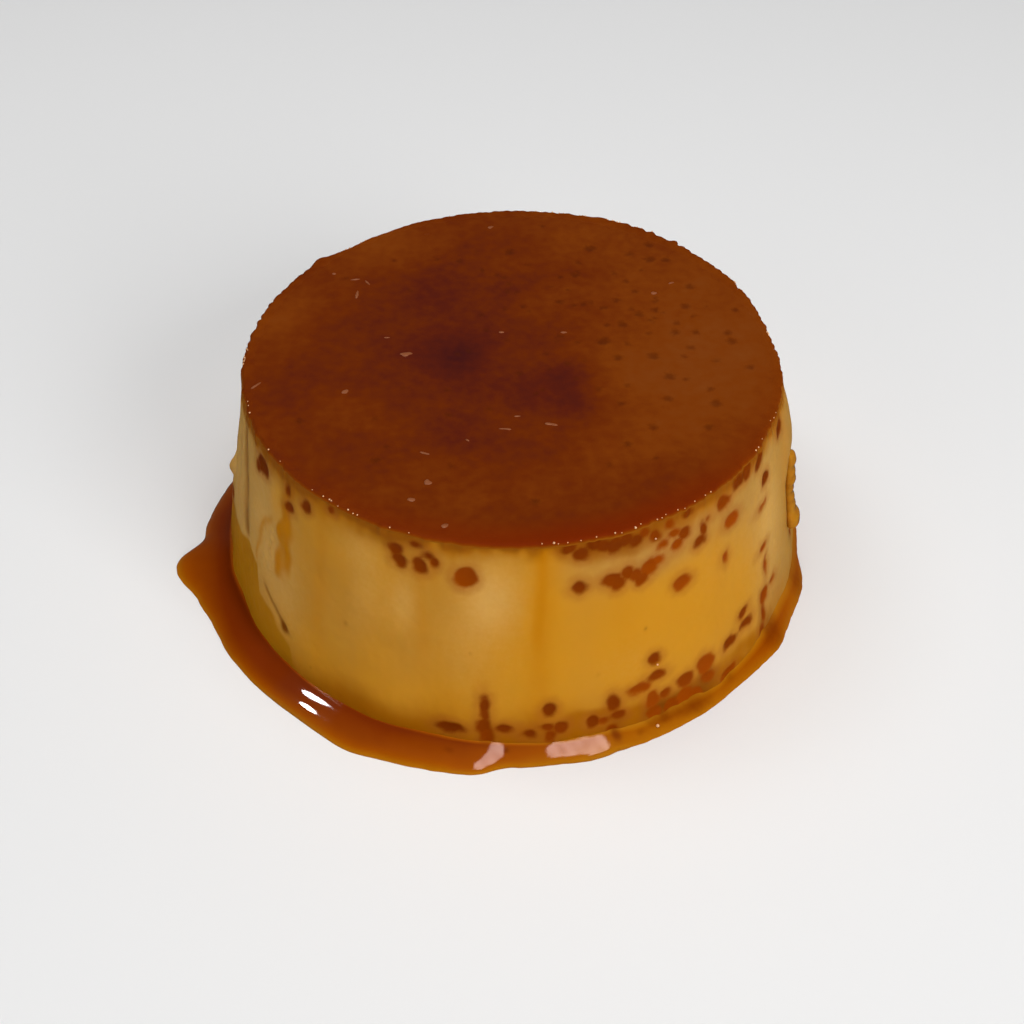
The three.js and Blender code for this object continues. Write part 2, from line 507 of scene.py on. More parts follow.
def pit_fields(angle, height, points, pits):
    """Distance to the nearest pit's edge (mm, negative inside), the hollow's depth, and its tone.

    A pit is an ellipse on the wall whose outline a fine ripple makes ragged. Its hollow is a share
    of its half width deep, times one less the squared distance: a shallow dish full of syrup.
    """
    ragged = 0.11 * ripple(points, 2.0, seed=5)
    nearest = np.full(height.shape, 3.0)
    hollow = np.zeros(height.shape)
    tone = np.zeros(height.shape)
    for degrees, middle, width, tall, amber in pits:
        u = off(angle, degrees) * ROUND / (PIT_HALF * width)
        v = (height - middle) / (PIT_HALF * tall)
        reach = np.sqrt(u * u + v * v)
        half = PIT_HALF * min(width, tall)
        distance = (reach - 1) * half + ragged
        tone = np.where(distance < nearest, amber, tone)
        nearest = np.minimum(nearest, distance)
        hollow = np.maximum(hollow, PIT_DEPTH * half * np.clip(1 - reach * reach, 0, 1))
    return nearest, hollow, tone


# --- The custard ---

WALL_COLUMNS = 980
WALL_ROWS = 98
WALL_TOP = 33.6  # the custard's own top, inside the caramel skin


# Washes of colour on the wall: degrees, height, half width in degrees, half height, and
# strength. Gold goes up from tan, and back down to it where the strength is negative. The two
# that span the whole height at -168 and -18 degrees, back towards tan, are part of a painted
# sheen on the far left and right flanks.
GOLD_AND_SHEEN_WASHES = [
    (-168, 20, 16, 30, -0.6), (-146, 22, 9, 12, -0.2), (-144, 27.5, 2.5, 3, 0.6),
    (-128, 18, 5, 30, 0.1), (-112, 6, 25, 7, 0.3), (-84, 20, 5, 30, 0.25), (-62, 17, 22, 12, 0.42),
    (-58, 29.5, 24, 3.4, -0.4), (-36, 26, 8, 8, -0.3), (-62, 27, 9, 2.4, -0.25),
    (-38, 17, 9, 9, 0.1), (-18, 20, 13, 30, -0.45), (20, 22, 12, 12, 0.25),
    (48, 14, 10, 10, -0.25), (80, 20, 14, 14, 0.3), (112, 12, 12, 10, -0.3),
    (140, 22, 12, 12, 0.3),
]

# Where the custard is paler, in the same way. The two that span the whole height at -168 and
# -28 degrees are a painted sheen on the far left and right flanks.
PALE_AND_SHEEN_WASHES = [
    (-94, 25.8, 6.3, 6.3, 0.6), (-62, 29.5, 14, 2, 0.3), (-99, 17, 6, 7, 0.2),
    (-119, 22, 5, 8, 0.3), (-110.5, 23, 3.2, 5, 0.4), (-122, 29, 6, 3, 0.2),
    (-70, 12, 12, 5, 0.15), (-45, 22, 10, 6, 0.15), (-25, 20, 8, 9, 0.25), (-28, 17, 8, 30, 0.34),
    (-168, 22, 15, 30, 0.65), (-149, 24, 8, 12, 0.42), (-139, 15, 8, 9, 0.36),
    (-14.5, 24, 2.5, 10, 0.3), (12, 14, 9, 8, 0.3), (60, 24, 10, 8, 0.35), (97, 22, 9, 9, 0.4),
    (128, 10, 10, 7, 0.35), (158, 20, 8, 8, 0.3),
]

# Where thin caramel has run down: degrees, half width in degrees, lowest height, and strength.
RUN_BANDS = [
    (-84.9, 2, 12, 0.66), (-84.4, 3.2, 4, 0.45), (-129.5, 2.4, 6, 0.34), (-124, 1.2, 16, 0.15),
    (-107, 1.8, 10, 0.3), (-104.6, 1.3, 24, 0.45), (-68, 4, 10, 0.2), (-47, 3.5, 6, 0.2),
    (-16, 3, 10, 0.35), (14, 1.6, 6, 0.7), (31, 3.4, 12, 0.4), (52, 1.8, 3, 0.75),
    (71, 4, 14, 0.3), (88, 1.3, 8, 0.65), (109, 2.6, 5, 0.45), (126, 4, 16, 0.35),
    (147, 1.6, 6, 0.7), (163, 2.6, 12, 0.4), (-177, 2, 9, 0.35),
]

# Brown stains: degrees, height, half width in degrees, half height, and strength.
STAINS = [
    (-122.7, 15.9, 0.8, 0.6, 0.4), (-97.6, 16.7, 0.5, 0.4, 0.35), (-64.4, 17.6, 0.5, 0.4, 0.5),
    (-73.9, 12, 0.9, 0.8, 0.25), (-130.8, 4.6, 0.5, 0.4, 0.4), (-139, 7.6, 1.2, 0.9, 0.75),
    (-55.5, 1.6, 5.5, 2.6, 0.85), (-62.5, 3.2, 3, 1.6, 0.5), (-51, 5.2, 2.4, 2.6, 0.45),
    (-31, 1.5, 3, 3.6, 0.6), (-24, 0.5, 4, 2.4, 0.45), (-83, 3.4, 2.2, 1.3, 0.35),
    (-66, 31.2, 13, 2.4, 0.36), (-63, 27, 8, 1.8, 0.2), (-112, 31.5, 5, 1.8, 0.12),
    (-101, 3.3, 3, 1.2, 0.35), (-94.6, 3.2, 1.8, 2.4, 0.4), (-71, 3.6, 2.4, 2, 0.3),
    (-33.5, 6.5, 1.8, 4, 0.35), (8, 2, 6, 1.8, 0.5), (44, 1.5, 8, 2.4, 0.6),
    (96, 2.2, 7, 2.6, 0.6), (133, 1.4, 9, 2, 0.5), (170, 3, 5, 3, 0.6),
]

# How far down from the rim the caramel has soaked in: degrees, and the height it reaches.
SOAK_EDGE = [
    (-180, 32), (-160, 32.2), (-150, 32.6), (-140, 32.2), (-130, 32.8), (-115, 32.4), (-104, 32.9),
    (-90, 33.1), (-82, 32.9), (-76, 32.2), (-66, 32.1), (-58, 32.6), (-40, 32.7), (-25, 32.4),
    (0, 32.7), (25, 32), (60, 32.8), (90, 32.3), (120, 32.8), (150, 32), (180, 32),
]

# The top of the band that the sauce has wetted at the foot: degrees and height.
WETTED_EDGE = [
    (-180, 9), (-170, 12), (-160, 13.4), (-155, 14.2), (-149.5, 13.6), (-148, 9.2), (-141, 7),
    (-137, 5.4), (-136, 2.6), (-128, -1.5), (-10, -1.5), (8, 2), (30, 5), (62, 2.6), (100, 4.6),
    (130, 2.6), (155, 5.2), (180, 9),
]


def washes(angle, height, spots):
    """The sum of soft spots, each a hill across and a hill up."""
    total = np.zeros(height.shape)
    for degrees, middle, half_width, half_height, strength in spots:
        across = hill(off(angle, degrees), np.radians(half_width))
        total += strength * across * hill(height - middle, half_height)
    return total


def level_round(angle, heights):
    """A height that follows given (degrees, height) points round the wall."""
    degrees, levels = np.transpose(heights)
    return np.interp(np.degrees(angle), degrees, levels)


def run_field(angle, height, points):
    """Where thin caramel has run down: upright bands, each soft-sided, from the rim downwards."""
    wander = 0.006 * ripple(points, 14, seed=21)
    field = np.zeros(height.shape)
    for degrees, half, lowest, strength in RUN_BANDS:
        side = hill(off(angle, degrees) + wander, np.radians(half))
        field = np.maximum(field, strength * side * step(lowest - 6, lowest + 10, height))
    return field


def smear_fields(angle, height, points):
    """The torn patch high on the left: an amber stripe, a fainter one, and pale skin between."""
    torn = ripple(points, 4.0, seed=31)
    up = height + 0.6 * torn
    side = off(angle, -145) * ROUND + 0.3 * torn
    stripe = step(0.8, 2.8, side) * step(5.6, 3.4, side) * step(15.0, 18, up) * step(31, 27, up)
    stripe *= 0.8 + 0.2 * ripple(points * [1, 1, 0.12], 2.2, seed=32)
    neck = hill(side - 3.2, 1.1) * step(24, 26, up) * step(32, 30, up)
    faint = hill(side + 3.4 - 0.06 * (height - 17) ** 2 * (height > 17), 0.9)
    faint = faint * step(13.8, 15.5, up) * step(24.5, 22.5, up)
    patch = hill(side + 0.4, 1.7) * step(14.0, 16.0, up) * step(23.5, 20.5, up)
    return stripe, 0.8 * neck + 0.75 * faint, patch


def crease(angle, height, path, width):
    """A groove along a line of (degrees, height) points, 1 in its bottom and soft at its sides."""
    degrees, heights = np.transpose(path)
    order = np.argsort(heights)
    centre = np.radians(np.interp(height, heights[order], degrees[order]))
    ends = step(heights.min() - 1, heights.min() + 1, height)
    ends = ends * step(heights.max() + 1.5, heights.max() - 0.5, height)
    return hill(off(angle - centre, 0) * ROUND, width) * ends


def side_swell(angle, height):
    """How far the wall swells out high on the right, in millimetres."""
    return 1.3 * hill(off(angle, -9) * PROUD_ROUND, 5.5) * hill(height - 26.5, 6)


def custard_shape():
    """The custard: rows up the wall from a flat foot to a flat top just inside the skin.

    The radius is the plain wall's, plus a slow unevenness, less creases and pits.
    """
    heights = np.concatenate([[0.0, 0.12], np.linspace(0.45, WALL_TOP, WALL_ROWS - 2)])
    angle, height = np.meshgrid(np.linspace(-np.pi, np.pi, WALL_COLUMNS, False), heights)
    radius = wall_radius(angle, height)
    points = round_about(radius, angle, height)
    nearest, hollow, tone = pit_fields(
        angle, height, points, PITS_ON_SHOW + hidden_pits(np.random.default_rng(11))
    )
    stripe, faint, patch = smear_fields(angle, height, points)
    folds = crease(angle, height, [(-163, 31), (-160, 24), (-157, 14.5)], 1.5)
    folds += 0.3 * crease(angle, height, [(-168, 26), (-163, 14)], 0.7)
    folds += 0.8 * crease(angle, height, [(38, 31), (36, 20), (37, 9)], 0.5)
    folds += 0.6 * crease(angle, height, [(121, 30), (118, 17)], 0.5)
    scratch = crease(angle, height, [(-146, 11.8), (-141.7, 9.6), (-137.3, 7.2)], 0.95)
    relief = 0.09 * ripple(points, 24, seed=1) + 0.035 * ripple(points, 7, seed=2)
    relief += 0.01 * ripple(points, 1.8, seed=3)
    relief += 0.06 * stripe + 0.05 * faint + 0.06 * patch * ripple(points, 1.5, seed=4)
    relief -= 0.25 * folds + 0.08 * scratch + hollow
    relief -= 0.25 * step(0.5, 0.0, height)
    lump = hill(off(angle, -172.5) * PROUD_ROUND, 1.0) * hill(height - 18.3, 1.5)
    low_lump = hill(off(angle, -174) * PROUD_ROUND, 1.3) * hill(height - 13, 5)
    relief += 0.95 * lump + 0.25 * low_lump
    relief += side_swell(angle, height)
    to_rim = step(30.5, 33.2, height)
    at_rim = rim_offset(angle) + 0.02 - 0.05 * step(33.1, 33.3, height)
    relief = relief * (1 - to_rim) + at_rim * to_rim
    ragged = 0.2 * ripple(points, 2.4, seed=6) + 0.25 * ripple(points, 7, seed=14)
    soaked_to = level_round(angle, SOAK_EDGE) + ragged
    edge = level_round(angle, WETTED_EDGE) - height + 0.3 * ripple(points, 5, seed=10)
    # Towards the foot the custard turns ochre: partly caramel soaked in, partly painted shade and a
    # painted reflection of the sauce.
    foot = step(11, 1.5, height + 1.2 * ripple(points * [1, 1, 0.5], 12, seed=8))
    foot_soak_shade = 0.4 + 0.5 * hill(off(angle, -122), 0.7) + 0.12 * ripple(points, 30, seed=15)
    film = hill(off(angle, -60), 0.62) * step(7.0, 0.5, height + 0.8 * ripple(points, 4, seed=16))
    deepest = 2.5 + 2.6 * hill(off(angle, -126), 0.4) + 1.4 * hill(off(angle, -62), 0.35)
    near_rim = step(soaked_to - deepest, soaked_to + 0.6, height)
    cloud = ripple(points * [1, 1, 0.4], 14, seed=12)
    gold = 0.6 + washes(angle, height, GOLD_AND_SHEEN_WASHES) + 0.06 * cloud
    pale = np.maximum(washes(angle, height, PALE_AND_SHEEN_WASHES) + 0.04 * cloud, 0.6 * patch)
    # The colour is also darker along the creases and the scratch.
    stain = washes(angle, height, STAINS) + 0.6 * np.minimum(folds + scratch, 1)
    stain += 0.3 * lump + 0.24 * near_rim**2 + 0.2 * film
    smear = np.maximum(0.95 * stripe, 0.75 * faint)
    stain += 0.3 * patch * step(0.6, 1.6, ripple(points, 1.5, seed=4))
    fields = {
        "pit": nearest,
        "tone": tone,
        "gold": gold,
        "pale": pale,
        "deep": foot * foot_soak_shade + film + 0.75 * near_rim + 0.75 * stripe + 0.3 * faint,
        "run": np.maximum(run_field(angle, height, points), smear + 0.35 * near_rim**2),
        "wetted": step(-0.9, 0.9, edge),
        "stain": stain,
        "skin": step(soaked_to - 1.0, soaked_to + 0.9, height),
    }
    return drum(round_about(radius + relief, angle, height), fields)


# --- The caramel skin ---

TOP_GRID = 272  # points along each side of the grid that is drawn out into the round top
RIM_ROUND = 0.5
RIM_ROWS = 10  # rows round the rim, with the top face's own edge
LIP_DROP = 0.6  # how far the lip goes down under the rim
PIT_LIMIT = 35.5  # pits in the caramel stay this near its middle

# Small dark pits in the caramel: x, y, diameter.
TOP_PITS = [
    (7, 13.5, 0.9), (10.5, 13, 0.8), (15.5, 14, 1), (13.5, 12, 0.9), (18.5, 10.5, 1.2),
    (21, 11.5, 1), (16, 8, 1.4), (25.5, 12.5, 1.3), (26.5, 17.5, 1.1), (23.5, 6, 1.2),
    (26.5, 6, 0.9), (31, 6, 1), (31.5, 4, 1.1), (25.5, 2.5, 1), (13, 4, 1.8), (15, 0.2, 1.2),
    (20, 0.5, 1.5), (22, -4, 1.5), (21.5, -9, 1.1), (29, -0.5, 0.9), (33.5, -2, 1), (28, -10, 1.3),
    (26.5, -15, 1), (19, -15, 1.1), (15.5, -18.5, 1), (12, 27.5, 1.6), (21, 28.5, 1.2),
    (21, 24.5, 1.4), (23.5, 24.5, 1.2), (18, 26, 1), (-0.5, 26.5, 1.3), (9.5, 20.5, 1.2),
    (-29, -14, 1), (-18, -22, 1.2), (3, -30, 1),
]

# Broad changes of tone: x, y, reach, and how much lighter (or darker, if negative). The darker
# ones are clouds in the caramel; the lighter ones on the right and near the back edge are a
# painted sheen.
TOP_TONES_AND_SHEEN = [
    (-7.4, 0.2, 5.4, -0.3), (7.4, -3.8, 3.6, -0.28), (9, -10, 3.4, -0.24), (1.5, -8, 5, -0.14),
    (-13, 15.5, 7, -0.12), (-1, 17, 4, -0.08), (-22, 0, 10, -0.02), (-7.4, -16, 5, -0.14),
    (-8, 2, 22, -0.12), (-1, -24, 7, -0.05), (5, 14, 5, 0.08), (16, -2, 7, 0.16),
    (14, -20, 6, 0.08), (14, 14, 7, 0.08), (30, 4, 14, 0.29), (26, 22, 10, 0.14),
    (22, -12, 12, 0.14), (-6, -31, 12, 0.1), (11, 33, 10, 0.16), (-20, 29, 9, 0.2),
    (-35, 10, 8, 0.2), (-21, -12, 5, 0.1), (30, -16, 8, 0.08),
]


def rim_offset(angle):
    """How far the rim strays from its plain outline: fine crinkles, more at the back, and a nub."""
    circle = 38 * np.stack([np.cos(angle), np.sin(angle)], -1)
    rough = 0.035 + 0.11 * hill(off(angle, 50), 0.75) + 0.07 * hill(off(angle, 178), 0.4)
    rough += 0.04 * hill(off(angle, -50), 0.5)
    crinkle = rough * ripple(circle, 1.5, seed=41) + 0.05 * ripple(circle, 6, seed=42)
    nub = 0.85 * hill(off(angle, 140.5), np.radians(2.4))
    return crinkle + nub + 0.4 * hill(off(angle, -7), 0.2)


def skin_shape():
    """The caramel skin: a square grid drawn out into a round top, a rounded rim and a thin skirt.

    A point of the square keeps its larger coordinate as its share of the way out, and its place
    along the side becomes its angle, so the boundary's points are evenly spaced round the rim.
    """
    side = np.linspace(-1, 1, TOP_GRID)
    a, b = np.meshgrid(side, side, indexing="ij")
    flat = np.abs(a) >= np.abs(b)
    safe_a, safe_b = np.where(a == 0, 1, a), np.where(b == 0, 1, b)
    angle = np.where(flat, np.pi / 4 * b / safe_a, np.pi / 2 - np.pi / 4 * a / safe_b)
    angle = angle + np.where(np.where(flat, a, b) < 0, np.pi, 0)
    share = np.maximum(np.abs(a), np.abs(b))
    edge = wall_radius(angle, FLAN_TOP) + rim_offset(angle) * share**12
    radius = share * (edge - RIM_ROUND)
    plan = round_about(radius, angle, 0.0)
    top, fields = skin_top(plan, radius)
    top_points = plan + top[..., None] * [0, 0, 1]

    index = np.arange(TOP_GRID * TOP_GRID).reshape(TOP_GRID, TOP_GRID)
    grid = [index[:-1, :-1], index[1:, :-1], index[1:, 1:], index[:-1, 1:]]
    rim_loop = np.concatenate([index[:-1, 0], index[-1, :-1], index[:0:-1, -1], index[0, :0:-1]])
    loop_angle = angle.reshape(-1)[rim_loop]
    rows = skirt_rows(loop_angle, top.reshape(-1)[rim_loop])
    count, around = TOP_GRID * TOP_GRID, len(rim_loop)
    loops = np.vstack([rim_loop, count + np.arange(rows.shape[0] * around).reshape(-1, around)])
    middle = [[0, 0, FLAN_TOP - RIM_ROUND - LIP_DROP]]
    points = np.concatenate([top_points.reshape(-1, 3), rows.reshape(-1, 3), middle])
    faces = [
        np.stack(grid, -1).reshape(-1, 4),
        loops[::-1].reshape(-1)[ring_faces(*loops.shape)],
        fan_faces(loops[-1], len(points) - 1, upwards=False),
    ]
    hidden = {"shade": 0.5, "speck": 3.0, "side": 0.0, "dull": 1.0, "rim": 0.0}
    skirt = {name: np.full(rows.shape[:2], value) for name, value in hidden.items()}
    skirt["side"] = step(0.0, 0.6, FLAN_TOP - rows[..., 2])
    for name in ("shade", "rim"):
        skirt[name][:] = fields[name].reshape(-1)[rim_loop]
    spread = {
        name: np.concatenate([fields[name].reshape(-1), skirt[name].reshape(-1), [value]])
        for name, value in hidden.items()
    }
    return points, faces, spread


def skin_top(plan, radius):
    """Height of the top face and its fields: nearly flat, with slow swells and small pits."""
    top = FLAN_TOP - 0.04 + 0.02 * ripple(plan, 16, seed=51) + 0.002 * ripple(plan, 4, seed=52)
    rng = np.random.default_rng(53)
    scattered = [
        (*rng.normal((14, 10), (14, 12)), rng.uniform(0.4, 0.8)) for _ in range(70)
    ] + [(*rng.normal((-5, -5), (20, 20)), rng.uniform(0.4, 0.7)) for _ in range(25)]
    nearest = np.full(radius.shape, 3.0)
    for x, y, size in TOP_PITS + scattered:
        if np.hypot(x, y) > PIT_LIMIT:
            continue
        distance = np.hypot(plan[..., 0] - x, plan[..., 1] - y)
        nearest = np.minimum(nearest, distance - size / 2)
        top = top - 0.05 * size * hill(distance, 0.42 * size)
    # Clouds in the caramel, and a painted sheen where it is lighter.
    shade = np.full(radius.shape, 0.5)
    for x, y, reach, lighter in TOP_TONES_AND_SHEEN:
        shade += lighter * hill(np.hypot(plan[..., 0] - x, plan[..., 1] - y), reach)
    shade += 0.02 * ripple(plan, 9, seed=54)
    direction = np.arctan2(plan[..., 1], plan[..., 0])
    near = hill(off(direction, -75), 0.75)
    return top, {
        "shade": shade,
        "speck": nearest,
        "side": np.zeros(radius.shape),
        "dull": step(36.4, 37.2, radius + 0.15 * ripple(plan, 2, seed=55)),
        "rim": near * step(32.5, 37.5, radius),
    }


def skirt_rows(angle, top):
    """Rows from the top face's edge round the rim, down to a lip that dips into the custard."""
    stray = rim_offset(angle)
    rows = []
    for turn in np.linspace(0, np.pi / 2, RIM_ROWS)[1:]:
        height = top - RIM_ROUND * (1 - np.cos(turn))
        inset = RIM_ROUND * (1 - np.sin(turn))
        rows.append((wall_radius(angle, height) + stray - inset + 0.02, height))
    lip = rows[-1][1]
    for inset, drop in ((0.03, 0.15), (0.14, 0.35), (0.7, 0.55), (2.5, LIP_DROP)):
        rows.append((wall_radius(angle, lip) + stray - inset, lip - drop))
    return np.stack([round_about(radius, angle, height) for radius, height in rows])


# --- The pool ---

POOL_COLUMNS = 900
POOL_ROWS = 44

# The sauce: degrees, depth away from the wall, how much higher it climbs there, and how far
# out from the wall that climb reaches.
POOL_DEPTHS = [
    (-180, 1.5, 1.6, 1.6), (-171, 1.35, 2, 2), (-160, 1.6, 2.2, 1.8), (-150, 1.75, 1.6, 1.2),
    (-142, 1.8, 0.85, 0.64), (-114, 1.45, 0.85, 0.64), (-102, 1.3, 1.1, 1.2), (-80, 0.7, 0.9, 1.2),
    (-66, 0.4, 1.7, 1.4), (-42, 0.35, 1.7, 1.3), (-32, 0.8, 3.4, 1.3), (-24, 0.8, 3, 1.3),
    (-14, 1, 4.4, 1.2), (-6, 0.9, 3, 1.2), (4, 0.6, 0.8, 1.2), (32, 0.9, 0.8, 1.2),
    (60, 0.7, 0.6, 1.2), (95, 1.2, 0.9, 1.4), (130, 0.9, 0.6, 1.4), (160, 1.2, 1, 1.4),
    (180, 1.5, 1.6, 1.6),
]

# Where the pool's edge strays from the plain outline: degrees, half width in degrees, and how
# far out it goes in millimetres.
POOL_STRAYS = [
    (-172.5, 3, -0.4), (-165, 3, 0.3), (-156, 4.5, -0.42), (-121.5, 4.5, -0.38), (-113, 4, -0.35),
    (-105, 3, -0.12), (-96, 3.2, 0.8), (-70, 3.6, -0.4), (-60, 45, -0.28), (-24.5, 4.5, -0.45),
    (-7, 6, -0.35),
]

# Dark marks that show through the thin sauce: degrees, distance out from the wall, half width
# in degrees, half depth, and strength.
POOL_MARKS = [
    (-100.9, 1.6, 1.3, 0.6, 0.6), (-91, 0.9, 0.8, 0.5, 0.9), (-94.6, 0.2, 1.6, 0.6, 0.5),
    (-82.8, 0, 1.4, 0.5, 0.6), (-71, 0.6, 1.1, 1.3, 0.9), (-66.5, 0.8, 1.2, 0.5, 0.5),
    (-62, 0.3, 3.4, 0.8, 0.7), (-54.5, 0.6, 5, 1.1, 0.75), (-45.2, 0.3, 1.8, 0.6, 0.6),
    (-31, 0.5, 3.6, 1.8, 0.8), (-16, 0.8, 5, 1.6, 0.6),
]

# Where the thin sauce in front lies smooth enough to mirror a window: the two ends (x, y) of
# each smooth strip and its half width at either end.
MIRRORS = [
    ((-2.1, -44.5), (-4.5, -46.6), 1.0, 0.5),
    ((5.6, -44.3), (12.3, -43.0), 0.9, 1.0),
    ((12.2, -43.2), (11.6, -45.4), 1.0, 1.2),
]


def pool_profile(angle):
    """The sauce's depth, climb and reach at each angle, with their corners smoothed away."""
    degrees, *columns = np.transpose(POOL_DEPTHS)
    smoothing = np.hanning(41) / np.hanning(41).sum()
    for column in columns:
        three_times = np.tile(np.interp(np.degrees(angle), degrees, column), 3)
        yield np.convolve(three_times, smoothing, "same")[len(angle) : 2 * len(angle)]


def mirror_share(plan):
    """How smooth the sauce in front lies: mottled in the strips, 0 away, ragged in between."""
    place = plan[..., :2]
    nearest = np.full(place.shape[:-1], 9.0)
    for start, end, near_half, far_half in MIRRORS:
        start, end = np.array(start), np.array(end)
        along = np.clip((place - start) @ (end - start) / np.sum((end - start) ** 2), 0, 1)
        beside = np.linalg.norm(place - start - along[..., None] * (end - start), axis=-1)
        nearest = np.minimum(nearest, beside - near_half - (far_half - near_half) * along)
    mottled = np.clip(0.86 + 0.09 * ripple(plan, 1.7, seed=76), 0, 1)
    return mottled * step(0.15, -0.15, nearest + 0.12 * ripple(plan, 2.0, seed=75))


def pool_shape():
    """The pool: a ring whose rows go out underneath, round the edge and back over the sauce.

    The height is a rounded slab of the sauce's depth and a climb towards the wall. In front it is
    a flat slope instead, and in front on the left a smooth one that steepens outwards.
    """
    angle = np.linspace(-np.pi, np.pi, POOL_COLUMNS, False)
    circle = 46 * np.stack([np.cos(angle), np.sin(angle)], -1)
    depth, climb, reach = pool_profile(angle)
    lively = 1 - hill(off(angle, -128), 0.3)
    wander = 0.05 * ripple(circle, 7, seed=71) + 0.02 * ripple(circle, 2, seed=72)
    outer = pool_outline(angle) + lively * wander
    for degrees, half, stray in POOL_STRAYS:
        outer += stray * hill(off(angle, degrees), np.radians(half))
    inner = wall_radius(angle, 1.0) - 0.5
    width = outer - inner
    share = np.sin(np.linspace(0, np.pi / 2, POOL_ROWS))[:, None]
    distance = share * width
    beyond = np.clip((share - 0.38) / 0.62, 0, 1)
    height = depth * (1 - beyond**2.2) ** 0.75
    height = height + climb * np.exp(-distance / reach) * (1 - share**2)
    plan = round_about(inner + distance, angle, 0.0)
    height = height * (1 + 0.012 * lively * ripple(plan, 9, seed=73))
    plain_width = 3.5 + step(np.radians(3), np.radians(17), -off(angle, -85))
    slope = (0.35 + 0.4 * np.maximum(plain_width - distance, 0)) * (1 - share**24) ** 0.5
    sloping = step(np.radians(17.0), np.radians(14.0), np.abs(off(angle, -84.5)))
    height = height * (1 - sloping) + slope * sloping
    smooth = 0.12 * (7.4 - distance) + 0.0175 * (7.4**2 - distance**2)
    smooth = np.maximum(smooth, 0.3) * (1 - share**10) ** 0.5
    here = step(np.radians(18.0), np.radians(11.0), np.abs(off(angle, -128)))
    height = height * (1 - here) + smooth * here
    radius = inner + distance - np.maximum(height - 1.0, 0) * 0.16
    surface = round_about(radius, angle, height)[::-1]
    under = round_about(inner + np.array([0.0, 0.5, 0.96])[:, None] * width, angle, 0.0)
    points = np.concatenate([under, surface])
    from_wall = np.maximum(radius - wall_radius(angle, height), 0)
    thick = depth * (1 - share**6) ** 0.7 + 0.8 * climb * np.exp(-distance / 1.5)
    thick = np.minimum(thick, 0.1 + 0.4 * depth**2 + (0.8 + 1.6 * depth) * from_wall)
    thick = thick * (1 - 0.6 * hill(off(angle, -15), 0.35) - 0.3 * hill(off(angle, -63), 0.33))
    stain = washes(np.broadcast_to(angle, height.shape), from_wall, POOL_MARKS)
    front = step(np.radians(92), np.radians(84), np.abs(off(angle, -84)))
    clear = step(np.radians(7.5), np.radians(5.5), np.abs(off(angle, -129)))
    dull = np.maximum(front * (1 - clear), 0.7 * hill(distance, 0.7)) * (1 - mirror_share(plan))
    blank = np.zeros((3, POOL_COLUMNS))
    values = {"depth": thick, "stain": stain, "dull": dull}
    fields = {key: np.concatenate([blank, of[::-1]]).reshape(-1) for key, of in values.items()}
    faces = [ring_faces(*points.shape[:2], closed=True)]
    return points.reshape(-1, 3), faces, fields


# --- Runs, beads and flecks ---


def run_shape(degrees, top, bottom, width, thick, slim, seed):
    """One run of set caramel: a flattened tube down the wall, lumpy, with a heavier foot.

    At its top it has the slim share of its width and thickness, and it curves a little as it
    falls. Its rows go from the top down and turn clockwise, so its faces look outwards.
    """
    rng = np.random.default_rng(seed)
    t = np.linspace(0.0003, 0.9997, 72)[:, None]
    turn = np.linspace(0, TURN, 20, endpoint=False)
    height = top + (bottom - top) * t
    ends = np.sqrt(np.clip(1 - (2 * t - 1) ** 14, 0, 1))
    lumps = 1 + 0.06 * np.sin(t * (top - bottom) * rng.uniform(1.4, 1.9) + rng.uniform(0, TURN))
    lumps = lumps + 0.04 * np.sin(t * (top - bottom) * 4.1 + rng.uniform(0, TURN))
    swell = lumps * (0.9 + 0.45 * hill(t - 0.88, 0.1) + 0.15 * hill(t - 0.3, 0.08)) * ends
    swell = swell * (slim + (1 - slim) * t)
    sideways = width / 2 * swell * np.cos(turn) + 0.15 * np.sin(9 * t + seed)
    outwards = thick * (swell * (0.5 + 0.5 * np.sin(turn)) - 0.2)
    lean = np.radians(degrees - 1.3 * t**2) + sideways / PROUD_ROUND
    radius = wall_radius(lean, height) + side_swell(lean, height) + outwards
    return drum(round_about(radius, lean, height))


def bead_shape(middle, size, sides=10, rows=6):
    """A small round bead."""
    turn = np.linspace(0, TURN, sides, endpoint=False)
    lift = np.linspace(-np.pi / 2, np.pi / 2, rows + 2)[1:-1, None]
    points = round_about(np.cos(lift), turn, np.sin(lift) + 0 * turn)
    return drum(middle + size / 2 * points)


# Beads along the near rim, painted pale as glints: degrees and diameter.
NEAR_GLINT_BEADS = [
    (-148.6, 0.24), (-144, 0.14), (-133, 0.13), (-130, 0.22), (-128.4, 0.24), (-127.9, 0.2),
    (-126, 0.14), (-123.6, 0.24), (-122.3, 0.2), (-121.3, 0.2), (-114, 0.2), (-110, 0.15),
    (-84.3, 0.18), (-82, 0.32), (-81.2, 0.16), (-79.4, 0.18), (-76.8, 0.17), (-73.7, 0.2),
    (-70, 0.24), (-68.7, 0.15), (-65.7, 0.32), (-64.4, 0.17), (-60.8, 0.2), (-59.8, 0.15),
    (-58.7, 0.16), (-55.9, 0.19), (-54.5, 0.14), (-51.7, 0.2), (-48.8, 0.17), (-47.3, 0.2),
]
BEAD_CLUSTERS = 14  # more of them, round the rest of the rim

# Beads elsewhere, painted pale as glints, on the wall and the sauce: x, y, z and diameter.
LOOSE_GLINT_BEADS = [
    (20.15, -39.75, 0.95, 0.5), (19.7, -37, 10.55, 0.3), (18.35, -33.85, 31.2, 0.26),
]


